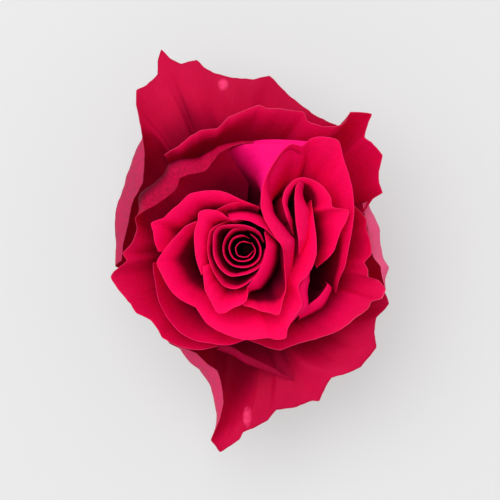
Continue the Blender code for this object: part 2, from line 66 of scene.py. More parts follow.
# Each petal: rim points (x, y), anticlockwise from above; lips (share of the rim, height, lean, reach);
# root angles; foot radius and height; belly (share, lean, reach); heart, which may change along the
# rim, as (share, x, y); foot_centre where it differs; painted_face_shade and painted_back_shade
# (share, depth, shade), painted shade: how far inland the face or the back is painted dark, and by
# how much; age, from 0, fresh, to 1, dull; ragged, the depth of the nicks in the rim; crisp, from 0,
# a rounded rim, to 1, one with sharp corners; grid, columns and rows.
GUARD_PETALS = {
    "top_guard": dict(
        rim=[(25.5, 34.5), (22, 36), (18, 38), (11.5, 43), (8, 46.5), (5.5, 49), (1, 48), (-5, 48.5),
             (-10.5, 50), (-13, 51.5), (-15, 53.5), (-19.5, 52.5), (-22.5, 54), (-25, 56.5),
             (-26, 53), (-26, 49.5), (-29, 46.5), (-32, 45), (-32, 41), (-30.5, 33.5),
             (-29.5, 26.5), (-30, 19), (-33, 13), (-34, 8), (-35.5, 2), (-36, -3)],
        lips=[(0, 40, 70, 16), (0.25, 36, 90, 22), (0.55, 33, 95, 24), (0.66, 36, 70, 20),
              (0.74, 41, -50, 13), (0.80, 43, -75, 15), (0.9, 43, -75, 13),
              (1, 42, -60, 9)],
        root=(48, 190), foot=OUTER_FOOT, belly=[(0, 75, 20)], heart=(-5, 15), foot_centre=MIDDLE,
        painted_face_shade=[(0, 22, 0.5), (0.3, 17, 0.6), (0.55, 14, 0.62), (0.75, 10, 0.55), (1, 7, 0.5)],
        age=1.0, ragged=0.30, crisp=0.75, grid=(400, 46)),
    "east_guard": dict(
        rim=[(38, -11), (37, -7.5), (36.5, -4.5), (34.5, -2), (33.5, 1.5), (33, 5.5), (32, 10),
             (31.5, 13)],
        lips=[(0, 42, -10, 8), (0.25, 44, -60, 12), (0.7, 46, -70, 13), (1, 46, -50, 9)],
        root=(-25, 30), foot=OUTER_FOOT, belly=[(0, 75, 20)], heart=MIDDLE,
        age=0.75, ragged=0.2, crisp=0.5, grid=(90, 42)),
    "bottom_guard": dict(
        rim=[(-18.5, -27.5), (-15, -29), (-12, -32), (-9, -34), (-8, -38), (-7.5, -43),
             (-8.5, -47.5), (-10, -51), (-11, -53.5), (-9.5, -55.5), (-8.5, -57), (-6, -55.5),
             (-3, -53.5), (-2, -51.5), (1.5, -50), (5, -48), (7.5, -45), (12, -44.5), (15, -43.5),
             (17.5, -42.5), (19.5, -42.5), (21, -39), (23, -36), (28, -34.5), (31, -33),
             (35.5, -27.5), (35, -23), (35.5, -19), (37.5, -17), (39, -15), (36.5, -9)],
        lips=[(0, 42, -70, 13), (0.08, 40, -70, 12), (0.18, 37, -62, 9), (0.25, 34, -10, 9),
              (0.31, 32, 60, 16), (0.36, 30, 95, 22), (0.6, 33, 90, 22), (0.8, 37, 80, 18), (1, 42, 60, 10)],
        root=(233, 342), foot=OUTER_FOOT, belly=[(0, 75, 20)], heart=(8, -30), foot_centre=MIDDLE,
        painted_face_shade=[(0, 7, 0.5), (0.25, 14, 0.4), (0.45, 20, 0.5), (0.7, 14, 0.55), (1, 8, 0.5)],
        age=0.9, ragged=0.30, crisp=0.75, grid=(400, 46)),
    "south_lip": dict(
        rim=[(-8.7, -26.6), (-5, -27.3), (-2, -29), (2.2, -31), (6.2, -33), (9.5, -34.9), (12, -36)],
        lips=[(0, 40, -70, 6), (0.4, 37.5, -80, 9), (0.8, 35, -80, 8), (1, 32.5, -80, 6)],
        root=(250, 300), foot=OUTER_FOOT, belly=[(0, 74, 19)], heart=MIDDLE,
        age=0.4, ragged=0.1, crisp=0.0, grid=(110, 42)),
}

CUP_PETALS = {
    "north_cup": dict(
        rim=[(31.5, 10), (34.5, 14.5), (37, 16), (36, 19), (36, 22), (37, 26.5), (34, 30),
             (32, 31.5), (33, 35.5), (34, 38), (28, 38.5), (26.5, 35.5), (24, 34.5), (20, 34.5),
             (16, 36), (15, 38.5), (11.5, 39), (8, 39.5), (4.5, 39.5), (2.5, 40.5), (-1.5, 39),
             (-6, 37), (-9, 34), (-13.5, 33.5), (-17, 31.5), (-20, 29), (-24, 26.5)],
        lips=[(0, 48, 20, 10), (0.15, 50, 35, 12), (0.35, 51, 40, 12), (0.5, 53, 60, 12),
              (0.65, 54, 84, 8), (0.82, 54, 84, 6), (0.95, 53, 80, 5), (1, 51, 60, 4)],
        root=(8, 132), foot=OUTER_FOOT, heart=MIDDLE,
        belly=[(0, 72, 22), (0.5, 75, 26), (0.66, 79, 32), (1, 79, 32)],
        age=0.66, ragged=0.25, crisp=0.65, grid=(360, 46)),
    "west_cup": dict(
        rim=[(1, 30), (-3, 29.5), (-6, 28.5), (-8.5, 27), (-10.5, 24.5), (-12.5, 22), (-17, 21),
             (-19.5, 20), (-20.5, 17), (-23.5, 14.5), (-26.5, 12.5), (-29.5, 11), (-32, 9),
             (-31.5, 6), (-33, 2), (-35.5, -1), (-34.5, -3), (-38, -6), (-39, -7.5), (-37, -11),
             (-33.5, -15), (-32, -17.5), (-28, -19.5), (-26, -22), (-24.5, -24.5), (-21, -26.5),
             (-18, -27.5), (-14, -28), (-9, -27)],
        lips=[(0, 54, -20, 6), (0.1, 55.5, -50, 10), (0.2, 56, -66, 15), (0.34, 54, -66, 16),
              (0.41, 52, 0, 8), (0.47, 50, 58, 12), (0.56, 48.5, 65, 13), (0.62, 46, 76, 13),
              (0.75, 47, 55, 13), (1, 46, 50, 12)],
        root=(85, 262), foot=OUTER_FOOT, heart=MIDDLE,
        belly=[(0, 30, 36), (0.3, 30, 36), (0.42, 60, 26), (0.5, 72, 22), (1, 72, 22)],
        painted_back_shade=[(0, 4.5, 0.92), (0.2, 5, 0.92), (0.34, 4.5, 0.92), (1, 8, 0.6)],
        age=0.62, ragged=0.25, crisp=0.55, grid=(400, 46)),
    "south_cup": dict(
        rim=[(-1, -25), (3, -26.5), (5.5, -27.5), (8.5, -28), (12.5, -26.5), (16, -25.5),
             (19.5, -24.5), (24, -23), (26.5, -21.5), (29.5, -19), (33, -16.5), (34, -14.5),
             (37, -13.5), (38, -11), (36, -8.5), (33, -7.5), (33, -5.5), (32, -3.5), (34, -1),
             (33.5, 3), (32.5, 6), (32.5, 8.5), (31, 10.5), (29, 12.5)],
        lips=[(0, 47, 50, 11), (0.3, 48, 60, 14), (0.55, 47, 70, 14), (0.65, 46, 75, 12),
              (0.75, 49, 45, 11), (1, 51, 20, 9)],
        root=(268, 385), foot=OUTER_FOOT, belly=[(0, 70, 20)], heart=MIDDLE,
        age=0.45, ragged=0.25, crisp=0.55, grid=(360, 46)),
}

INNER_PETALS = {
    "west_inner": dict(
        rim=[(-27, -3.5), (-27, -5.5), (-26.5, -8.5), (-25.5, -14), (-23, -19), (-19.5, -23),
             (-17, -24.5), (-14.5, -25.5), (-11, -26), (-8.5, -26.5), (-5.5, -26.5), (-1, -25)],
        lips=[(0, 53, 15, 8), (0.4, 52, 30, 8), (1, 51, 50, 8)],
        root=(185, 272), foot=(4, 19), belly=[(0, 60, 18)], heart=MIDDLE,
        age=0.2, ragged=0.12, crisp=0.3, grid=(180, 42)),
    "east_inner": dict(
        rim=[(13.5, -17.5), (17, -14.8), (19.5, -12.7), (21.6, -9.4), (21, -9)],
        lips=[(0, 50, -50, 5), (0.5, 51, -62, 8), (0.9, 52, -50, 6), (1, 51, -30, 4)],
        root=(300, 335), foot=(6, 20), belly=[(0, 70, 22)], heart=(8, -2), foot_centre=MIDDLE,
        painted_back_shade=[(0, 4.5, 0.9)], age=0.0, ragged=0.05, crisp=0.4, grid=(70, 38)),
    "east_patch": dict(
        rim=[(11.5, -20), (13, -17), (14.3, -14.8), (13.6, -11), (14.4, -8.7), (16.5, -5)],
        lips=[(0, 54, -40, 3), (0.3, 56, -72, 7), (0.7, 56, -72, 7), (1, 56, -40, 3)],
        root=(300, 340), foot=(4, 20), belly=[(0, 50, 18)], heart=(4, -10), foot_centre=MIDDLE,
        painted_back_shade=[(0, 6, 0.85)], age=0.06, ragged=0.05, crisp=0.0, grid=(80, 38)),
    "inner_north_west": dict(
        rim=[(5.5, 10.5), (2.5, 12), (0, 13), (-2.5, 14), (-5.5, 15.5), (-8.5, 16.5), (-12.5, 16.5),
             (-17, 15.5), (-19.5, 13), (-22, 11), (-24, 9), (-27.5, 7.5), (-27, 5), (-26.5, 2),
             (-25.5, -0.5)],
        lips=[(0, 56, 10, 4), (0.08, 59, 20, 4), (0.18, 60, 50, 6), (0.32, 60, 82, 10),
              (0.7, 58, 82, 10), (1, 56, 50, 8)],
        root=(65, 188), foot=INNER_FOOT, belly=[(0, 40, 16)], heart=MIDDLE,
        painted_face_shade=[(0, 3, 0.8), (0.3, 5, 0.85), (0.5, 6.2, 0.88), (0.7, 7, 0.88), (1, 9, 0.6)],
        age=0.0, ragged=0.12, crisp=0.3, grid=(190, 42)),
    "inner_west": dict(
        rim=[(-15, 8), (-18, 6.5), (-20.5, 4), (-23.5, 0.5), (-26, -3.5), (-25, -6),
             (-23.5, -9), (-21.5, -12), (-19, -14), (-15, -16)],
        lips=[(0, 61, 60, 6), (0.4, 59, 75, 10), (1, 57, 70, 8)],
        root=(145, 235), foot=INNER_FOOT, belly=[(0, 40, 16)], heart=MIDDLE,
        painted_face_shade=[(0, 4.5, 0.85), (0.3, 6, 0.88), (0.6, 8, 0.88), (1, 8.5, 0.8)],
        age=0.0, ragged=0.12, crisp=0.3, grid=(150, 42)),
    "inner_south": dict(
        rim=[(-15, -16), (-13.5, -18.5), (-12, -20.5), (-9, -22.5), (-5.5, -24), (-2, -25),
             (1, -25), (5, -24.5), (7.5, -25), (10, -24.5), (10.5, -22), (12.5, -18.5),
             (14.5, -15.5), (13.5, -11), (14, -9), (16, -7), (17.5, -4.5), (18.5, -1), (18.5, 3),
             (18, 7), (17, 14)],
        lips=[(0, 57, 75, 9), (0.2, 57, 85, 12), (0.42, 57, 80, 10), (0.52, 57.5, 72, 10),
              (0.8, 58, 70, 9), (0.93, 58, 50, 7), (1, 55, 20, 5)],
        root=(228, 385), foot=INNER_FOOT, belly=[(0, 40, 16)], heart=MIDDLE,
        age=0.0, ragged=0.12, crisp=0.3, grid=(240, 42)),
}

SECOND_PETALS = {
    "second_whorl": dict(
        rim=[(24, -12), (25, -8), (26.5, -4.5), (27.5, 0.5), (28.5, 6), (29, 11), (28.5, 17),
             (27.5, 21), (26, 25.5), (24.5, 30.5), (20, 31.5), (17, 31), (14.5, 29), (11.5, 29.5),
             (8.5, 27), (5.5, 22.5), (3.5, 18), (3, 15), (3, 12), (4, 8.5), (7, 3.5), (9, 1),
             (9.5, -3), (9.5, -8), (9, -13)],
        lips=[(0, 45, 10, 8), (0.06, 52, 25, 9), (0.22, 56, 45, 12), (0.36, 59, 65, 14),
              (0.45, 60, 60, 13), (0.51, 60, 40, 8), (0.58, 60.5, 20, 7), (0.64, 61.5, 25, 7),
              (0.7, 62.5, 60, 9), (0.73, 62.5, 78, 11), (0.8, 62.5, 82, 15),
              (0.87, 62, 80, 13), (0.9, 58, 70, 11), (1, 54, 60, 9)],
        root=(-60, 230), foot=(4, 20), foot_centre=SECOND_FOOT_CENTRE,
        belly=[(0, 55, 18), (0.5, 45, 16), (0.6, 35, 14), (0.7, 15, 12), (1, 5, 12)],
        heart=[(0, 12, -4), (0.2, 15, 4), (0.4, 17, 10), (0.5, 19, 13), (0.62, 19, 14),
               (0.72, 17, 11), (0.8, 15, 6.5), (0.87, 17, 4), (0.92, 20, -2), (1, 20, -8)],
        painted_face_shade=[(0, 3, 0.9), (0.12, 3.5, 0.9), (0.2, 7, 0.8), (0.28, 20, 0.4), (0.49, 20, 0.3),
               (0.53, 2.5, 0.3), (0.64, 2.5, 0.35), (0.69, 5, 0.7), (0.78, 6, 0.8), (0.88, 9, 0.8),
               (1, 9, 0.8)],
        age=0.15, ragged=0.1, crisp=0.3, grid=(340, 46)),
    "second_barrel": dict(
        rim=[(16, 30.2), (14.5, 29), (11.5, 29.4), (8.6, 26.9), (5.6, 22.5), (3.7, 18), (3.3, 15)],
        lips=[(0, 59.5, -80, 26), (0.09, 60, -80, 28), (0.22, 60, -80, 28), (0.4, 60, -80, 16),
              (0.64, 60.5, -76, 7), (0.86, 61.5, -40, 3), (1, 61, -20, 3)],
        root=(118, 84), foot=(4.5, 21), foot_centre=SECOND_FOOT_CENTRE,
        belly=[(0, 60, 27), (0.22, 58, 25), (0.4, 48, 22), (0.64, 36, 18), (1, 20, 15)],
        heart=[(0, 34, 28.5), (0.09, 34, 27.6), (0.22, 31, 28.6), (0.4, 28, 26.4), (0.64, 25, 21),
               (1, 20, 16)],
        painted_back_shade=[(0, 24, 0.6), (0.5, 19, 0.6), (1, 8, 0.8)],
        age=0.15, ragged=0.08, crisp=0.2, grid=(150, 46)),
    "second_lining": dict(
        rim=[(16, 30.2), (14.4, 28.8), (11.6, 29), (8.8, 26.6), (5.9, 22.2), (4, 17.8), (3.7, 14)],
        lips=[(0, 57, 60, 9), (0.5, 58.5, 66, 11), (1, 59, 66, 9)],
        root=(60, 170), foot=(3, 21), belly=[(0, 30, 12)], heart=(17, 10),
        foot_centre=SECOND_FOOT_CENTRE, age=0.1, ragged=0.08, crisp=0.0, grid=(110, 38)),
    "second_inner": dict(
        rim=[(18.5, -5), (22, -2), (23.5, 0), (25, 4.5), (27, 8.5), (27.5, 11), (23, 12),
             (22.5, 14.5), (20.5, 17.5), (17.5, 19.5), (14.3, 20.2), (11.8, 19.2), (9.5, 16.3),
             (9, 13.6), (9.9, 9.7), (11, 7), (12, 4)],
        lips=[(0, 50, 30, 6), (0.08, 54, 50, 7), (0.34, 57, 80, 12), (0.45, 58.5, 72, 8),
              (0.6, 60, 50, 5), (0.68, 61, 50, 5), (0.75, 61, 80, 7), (0.9, 60, 80, 6.5),
              (1, 55, 40, 4)],
        root=(-50, 200), foot=(2.5, 22), heart=(16, 10), foot_centre=SECOND_FOOT_CENTRE,
        belly=[(0, 50, 14), (0.62, 50, 14), (0.74, 10, 10), (1, 0, 10)],
        painted_face_shade=[(0, 8, 0.6), (0.2, 9, 0.7), (0.34, 11, 0.8), (0.42, 8, 0.9), (0.47, 6, 0.93),
               (0.53, 4.2, 0.95), (0.6, 3, 0.95), (0.66, 2.2, 0.95), (0.72, 3, 0.93), (1, 3.2, 0.93)],
        age=0.0, ragged=0.1, crisp=0.3, grid=(240, 42)),
    "second_fold": dict(
        rim=[(14.3, 19.5), (12.9, 18), (12.4, 15), (12.4, 12.3), (12.7, 7.8), (13.4, 3.2),
             (13.6, -1.3)],
        lips=[(0, 59, 60, 5), (0.3, 61, 82, 12), (0.55, 61, 80, 10), (0.8, 60, 70, 6),
              (1, 55, 40, 4)],
        root=(60, -15), foot=(1.5, 23), belly=[(0, 40, 14)], heart=[(0, 20, 14), (1, 22, -1)],
        foot_centre=SECOND_FOOT_CENTRE, age=0.0, ragged=0.05, crisp=0.1, grid=(120, 38)),
}

HEART_PETALS = {
    "heart_west": dict(
        rim=[(-2, 8.6), (-5, 8.5), (-6.2, 9.1), (-7.8, 10.3), (-9.8, 11.1), (-12.6, 11.2),
             (-14.2, 10.5), (-14.6, 8), (-15.5, 5), (-15.5, 2), (-15, -2.5), (-13.5, -7)],
        lips=[(0, 60.5, 30, 3), (0.12, 62, 60, 3), (0.22, 62.6, 82, 6), (0.4, 63, 86, 9),
              (0.75, 62.5, 86, 8), (1, 61.5, 75, 5)],
        root=(80, 212), foot=HEART_FOOT, belly=[(0, 25, 16)], heart=MIDDLE,
        painted_face_shade=[(0, 3, 0.9), (0.25, 7, 0.9), (0.45, 8.5, 0.9), (0.7, 5, 0.9), (1, 4, 0.9)],
        age=0.0, ragged=0.08, crisp=0.25, grid=(150, 38)),
    "heart_north": dict(
        rim=[(2.5, 11.5), (0, 12.8), (-2.8, 13.3), (-5.6, 12.9), (-7.8, 12), (-9.5, 11), (-11, 9.5)],
        lips=[(0, 57, 20, 4), (0.5, 60, 55, 5), (1, 58, 30, 4)],
        root=(60, 140), foot=HEART_FOOT, belly=[(0, 30, 16)], heart=MIDDLE,
        age=0.2, ragged=0.08, crisp=0.0, grid=(100, 38)),
    "heart_south": dict(
        rim=[(-13, -4.5), (-13, -7), (-12.5, -11), (-11, -14), (-9, -17.5), (-7, -17.5),
             (-4.5, -16), (-2, -15), (-1, -14), (-0.5, -12)],
        lips=[(0, 62.5, 75, 6), (0.5, 61.5, 86, 9), (1, 62, 70, 5)],
        root=(200, 285), foot=HEART_FOOT, belly=[(0, 25, 16)], heart=MIDDLE,
        painted_face_shade=[(0, 4, 0.9), (0.3, 8, 0.9), (0.5, 11, 0.9), (0.8, 10, 0.9), (1, 6, 0.9)],
        age=0.0, ragged=0.08, crisp=0.25, grid=(130, 38)),
    "heart_east": dict(
        rim=[(-2, -15.5), (0.5, -16), (3, -17), (5.5, -17.5), (8, -18), (9, -14.5), (10, -10.5),
             (9.7, -5.5), (9.2, 0), (8.4, 1.8), (6.2, 4), (4.5, 5.6), (2, 7), (0, 8), (-2.8, 8.5),
             (-5.5, 8.4)],
        lips=[(0, 60, 84, 3.5), (0.22, 60.5, 84, 3.5), (0.3, 61, 40, 4), (0.36, 61.5, 5, 5),
              (0.6, 62.3, 0, 5), (0.72, 62.5, -20, 6), (0.82, 62.5, -45, 9), (1, 62, -45, 8)],
        root=(270, 480), foot=HEART_FOOT, belly=[(0, 25, 16)], heart=MIDDLE,
        painted_face_shade=[(0, 2.6, 0.96), (0.12, 4, 0.96), (0.22, 5.4, 0.96), (0.3, 2, 0.8), (0.6, 1.6, 0.75),
               (1, 1.6, 0.8)],
        painted_back_shade=[(0, 9, 0.5), (0.7, 7, 0.8), (1, 3, 0.9)],
        age=0.05, ragged=0.08, crisp=0.25, grid=(200, 38)),
    "heart_wrap": dict(
        rim=[(-1, -12), (-0.5, -10), (1, -8), (2.5, -5.5), (3.5, -3), (4, -1), (4.5, 1.5), (4, 5)],
        lips=[(0, 61, -20, 4), (0.25, 62, -60, 8), (0.75, 62.5, -60, 8), (1, 62.5, -20, 4)],
        root=(275, 430), foot=(2.3, 27), belly=[(0, 45, 14)], heart=MIDDLE,
        painted_back_shade=[(0, 6.5, 0.96), (0.5, 6, 0.96), (1, 4, 0.9)],
        age=0.0, ragged=0.08, crisp=0.25, grid=(120, 38)),
}

# The rolled petals in the very middle: the height of the rim, how wide it is turned out, and its
# turns as (degrees, radius) about this point
SWIRL_CENTRE = (-2.0, 0.0)
SWIRL_TURNS = {
    "swirl_1": (59.0, 1.0, [(30, 3.3), (55, 2.7), (100, 2.4), (160, 2.2), (230, 2.1), (300, 2.3),
                            (345, 2.7), (360, 3.1)]),
    "swirl_2": (59.8, 1.0, [(60, 3.7), (90, 4.2), (130, 4.3), (170, 4.0), (220, 3.6), (267, 3.3),
                            (315, 3.5), (356, 3.6), (400, 3.3)]),
    "swirl_3": (60.6, 1.0, [(75, 5.9), (111, 6.4), (135, 6.1), (169, 5.7), (201, 5.5), (230, 5.3),
                            (263, 5.0), (298, 5.1), (328, 5.3), (357, 5.2), (394, 5.0), (424, 5.0)]),
    "swirl_4": (61.4, 1.6, [(20, 6.4), (50, 6.8), (80, 6.9), (110, 7.6), (135, 9.2), (150, 9.3),
                            (172, 8.4), (194, 8.3), (219, 8.2), (243, 8.1), (261, 7.3),
                            (291, 6.7), (318, 6.7), (342, 6.4), (362, 6.1)]),
    "swirl_5": (62.0, 0.9, [(110, 8.6), (128, 9.5), (148, 10.5), (169, 10.0), (192, 9.8),
                            (213, 10.1), (232, 10.8), (244, 11.3), (258, 11.1), (269, 10.2),
                            (286, 8.8), (302, 7.8), (322, 7.3)]),
}
SWIRL_GRID = (150, 32)
# Painted shade on the rolled petals, as (share of the rim, depth, shade): how far inland each face is painted
# dark, and by how much
SWIRL_SHADE = [(0, 2.4, 0.8), (0.15, 4.2, 0.5), (0.35, 2.0, 0.9), (0.55, 4.5, 0.5), (0.75, 2.0, 0.9),
               (0.9, 4.0, 0.5), (1, 2.4, 0.8)]

# Pale marks on the faces of the two large guard petals: middle (x, y), half width and half height
PALE_SPOTS = [((-7.6, 46.5), (1.5, 1.9)), ((-0.8, -47.0), (1.3, 2.9))]

# The calyx: a turned profile of (radius, height) from the receptacle's top down to the cut stem, and
# the curve of (radius, height) that runs along the middle of a sepal
STEM_RADIUS = 3.2
CALYX_PROFILE = [(0, 14.2), (3.5, 14.2), (5.9, 14.1), (6.4, 13.4), (7.3, 12.1), (7.6, 10.5), (7.3, 8.9),
                 (6.2, 7.3), (4.6, 6.1), (3.5, 5.0), (STEM_RADIUS, 3.8), (STEM_RADIUS, 0.25),
                 (STEM_RADIUS - 0.25, 0), (0, 0)]
SEPAL_COUNT = 5
SEPAL_TURN = 20.0
SEPAL_WIDTH = 8.0
SEPAL_THICKNESS = 0.7
SEPAL_CURVE = [(4.6, 12.4), (11.0, 15.2), (19.0, 12.5), (24.0, 0.5)]

# The bud-shaped core, as (radius, height), that closes the bottom of the roll
CORE_PROFILE = [(0, 40), (1.6, 39), (3.0, 36), (4.4, 31), (5.3, 25), (5.9, 19), (5.4, 15.4), (0, 15)]


class BloomSettings(bpy.types.PropertyGroup):
    """Sizes and colours of the petals."""
    rim_thickness: bpy.props.FloatProperty(
        name="Rim Thickness", description="Thickness of a petal at its rim", default=0.11 * MM,
        min=0.05 * MM, unit="LENGTH", precision=5)
    root_thickness: bpy.props.FloatProperty(
        name="Root Thickness", description="Thickness of a petal at its root", default=0.7 * MM,
        min=0.1 * MM, unit="LENGTH", precision=5)
    wave: bpy.props.FloatProperty(
        name="Wave", description="Height of the soft waves that run from root to rim",
        default=0.45 * MM, min=0.0, unit="LENGTH", precision=5)
    raggedness: bpy.props.FloatProperty(
        name="Raggedness", description="How deep the nicks in the rims are, as a factor", default=1.0,
        min=0.0, max=3.0, subtype="FACTOR")
    fresh: bpy.props.FloatVectorProperty(
        name="Fresh Red", description="Colour of the inner face of a fresh petal", subtype="COLOR",
        default=(0.93, 0.001, 0.088), min=0.0, max=1.0)
    dull: bpy.props.FloatVectorProperty(
        name="Dull Red", description="Colour of the inner face of an old guard petal", subtype="COLOR",
        default=(0.47, 0.002, 0.043), min=0.0, max=1.0)
    reverse: bpy.props.FloatVectorProperty(
        name="Reverse Magenta", description="Colour of a fresh petal's outer face", subtype="COLOR",
        default=(0.90, 0.003, 0.16), min=0.0, max=1.0)
    old_reverse: bpy.props.FloatVectorProperty(
        name="Reverse Pink", description="Colour of an old petal's outer face", subtype="COLOR",
        default=(0.50, 0.036, 0.105), min=0.0, max=1.0)
    pale_reverse: bpy.props.FloatVectorProperty(
        name="Reverse Pale Pink", description="Colour of the outer face of the petal on the east side",
        subtype="COLOR", default=(0.78, 0.095, 0.21), min=0.0, max=1.0)
    spot: bpy.props.FloatVectorProperty(
        name="Spot Pink", description="Colour of the small marks on the guard petals", subtype="COLOR",
        default=(0.95, 0.055, 0.19), min=0.0, max=1.0)
    # Painted shade: the colour that the petals are darkened towards where they lie deep between the others,
    # and inland
    deep: bpy.props.FloatVectorProperty(
        name="Deep Crimson", description="Colour of the petals deep down between the others",
        subtype="COLOR", default=(0.07, 0.0, 0.010), min=0.0, max=1.0)
    # Painted highlight: the pale line along a rim
    edge: bpy.props.FloatVectorProperty(
        name="Edge Pink", description="Colour of the thin line along a fresh rim", subtype="COLOR",
        default=(0.85, 0.16, 0.26), min=0.0, max=1.0)


class CalyxSettings(bpy.types.PropertyGroup):
    """Colours of the green parts."""
    green: bpy.props.FloatVectorProperty(
        name="Sepal Green", description="Colour of the sepals and the receptacle", subtype="COLOR",
        default=(0.115, 0.21, 0.045), min=0.0, max=1.0)
    down: bpy.props.FloatVectorProperty(
        name="Down", description="Colour of the pale down on the margins and inside", subtype="COLOR",
        default=(0.42, 0.48, 0.30), min=0.0, max=1.0)
    blush: bpy.props.FloatVectorProperty(
        name="Blush", description="Colour of the reddish tinge on the sepals", subtype="COLOR",
        default=(0.25, 0.07, 0.035), min=0.0, max=1.0)


class StageSettings(bpy.types.PropertyGroup):
    """The floor, the light and the camera."""
    floor: bpy.props.FloatVectorProperty(
        name="Floor", description="Colour of the plain floor", subtype="COLOR",
        default=(0.30, 0.302, 0.305), min=0.0, max=1.0)
    floor_glow: bpy.props.FloatProperty(
        name="Floor Glow", description="How bright the floor shines by itself, like a light table",
        default=0.40, min=0.0)
    light: bpy.props.FloatProperty(
        name="Overhead Light", description="Power of the soft box overhead", default=13.5, min=0.0,
        unit="POWER")
    sky: bpy.props.FloatProperty(
        name="Surrounding Light", description="Strength of the light from all round", default=0.85,
        min=0.0)
    view_width: bpy.props.FloatProperty(
        name="View Width", description="Width of what the camera sees, at the petals' rims",
        default=0.14, min=0.01, unit="LENGTH")
    camera_distance: bpy.props.FloatProperty(
        name="Camera Distance", description="From the petals' rims up to the camera", default=2.0,
        min=0.1, unit="LENGTH")


class Socket:
    """A shader node's output. Arithmetic on it adds Math nodes, and make adds any other node."""

    def __init__(self, tree, output=None):
        self.tree, self.output = tree, output

    def make(self, kind, settings=None, sockets=None, output=0):
        """A new node: its settings first, then the values or links of its sockets."""
        node = self.tree.nodes.new(kind)
        for name, value in (settings or {}).items():
            if name == "stops":
                ramp = node.color_ramp.elements
                while len(ramp) < len(value):
                    ramp.new(1.0)
                for stop, (position, colour) in zip(ramp, value):
                    stop.position, stop.color = position, (*colour, 1.0)
            else:
                setattr(node, name, value)
        for name, value in (sockets or {}).items():
            if isinstance(value, Socket):
                self.tree.links.new(value.output, node.inputs[name])
            elif node.inputs[name].type == "RGBA":
                node.inputs[name].default_value = (*value, 1.0)
            else:
                node.inputs[name].default_value = value
        return Socket(self.tree, node.outputs[output] if node.outputs else None)

    def maths(self, operation, first, second=None, clamp=False):
        sockets = {0: first} if second is None else {0: first, 1: second}
        return self.make("ShaderNodeMath", {"operation": operation, "use_clamp": clamp}, sockets)

    def __add__(self, other):
        return self.maths("ADD", self, other)

    def __radd__(self, other):
        return self.maths("ADD", other, self)

    def __sub__(self, other):
        return self.maths("SUBTRACT", self, other)

    def __rsub__(self, other):
        return self.maths("SUBTRACT", other, self)

    def __mul__(self, other):
        return self.maths("MULTIPLY", self, other)

    def __rmul__(self, other):
        return self.maths("MULTIPLY", other, self)

    def __truediv__(self, other):
        return self.maths("DIVIDE", self, other)

    def __pow__(self, other):
        return self.maths("POWER", self, other)

    def step(self, low, high, before=0.0, after=1.0):
        """A smooth step: before where this is under low, after where it is over high."""
        return self.make("ShaderNodeMapRange", {"interpolation_type": "SMOOTHSTEP"},
                         {0: self, 1: low, 2: high, 3: before, 4: after})

    def tint(self, first, second):
        """The first colour where this is 0, the second where it is 1."""
        return self.make("ShaderNodeMix", {"data_type": "RGBA"}, {0: self, 6: first, 7: second}, 2)

    def noise(self, place, scale, detail=2.0, roughness=0.5):
        return self.make("ShaderNodeTexNoise", None, {
            "Vector": place, "Scale": scale, "Detail": detail, "Roughness": roughness})


def new_material(name):
    """A material with an empty node tree, and the start of its expressions."""
    material = bpy.data.materials.new(name)
    material.use_nodes = True
    material.node_tree.nodes.clear()
    return material, Socket(material.node_tree)


def finish_material(start, sockets):
    """The Principled shader with these sockets, joined to the material's output."""
    shader = start.make("ShaderNodeBsdfPrincipled", None, sockets)
    start.make("ShaderNodeOutputMaterial", None, {"Surface": shader})


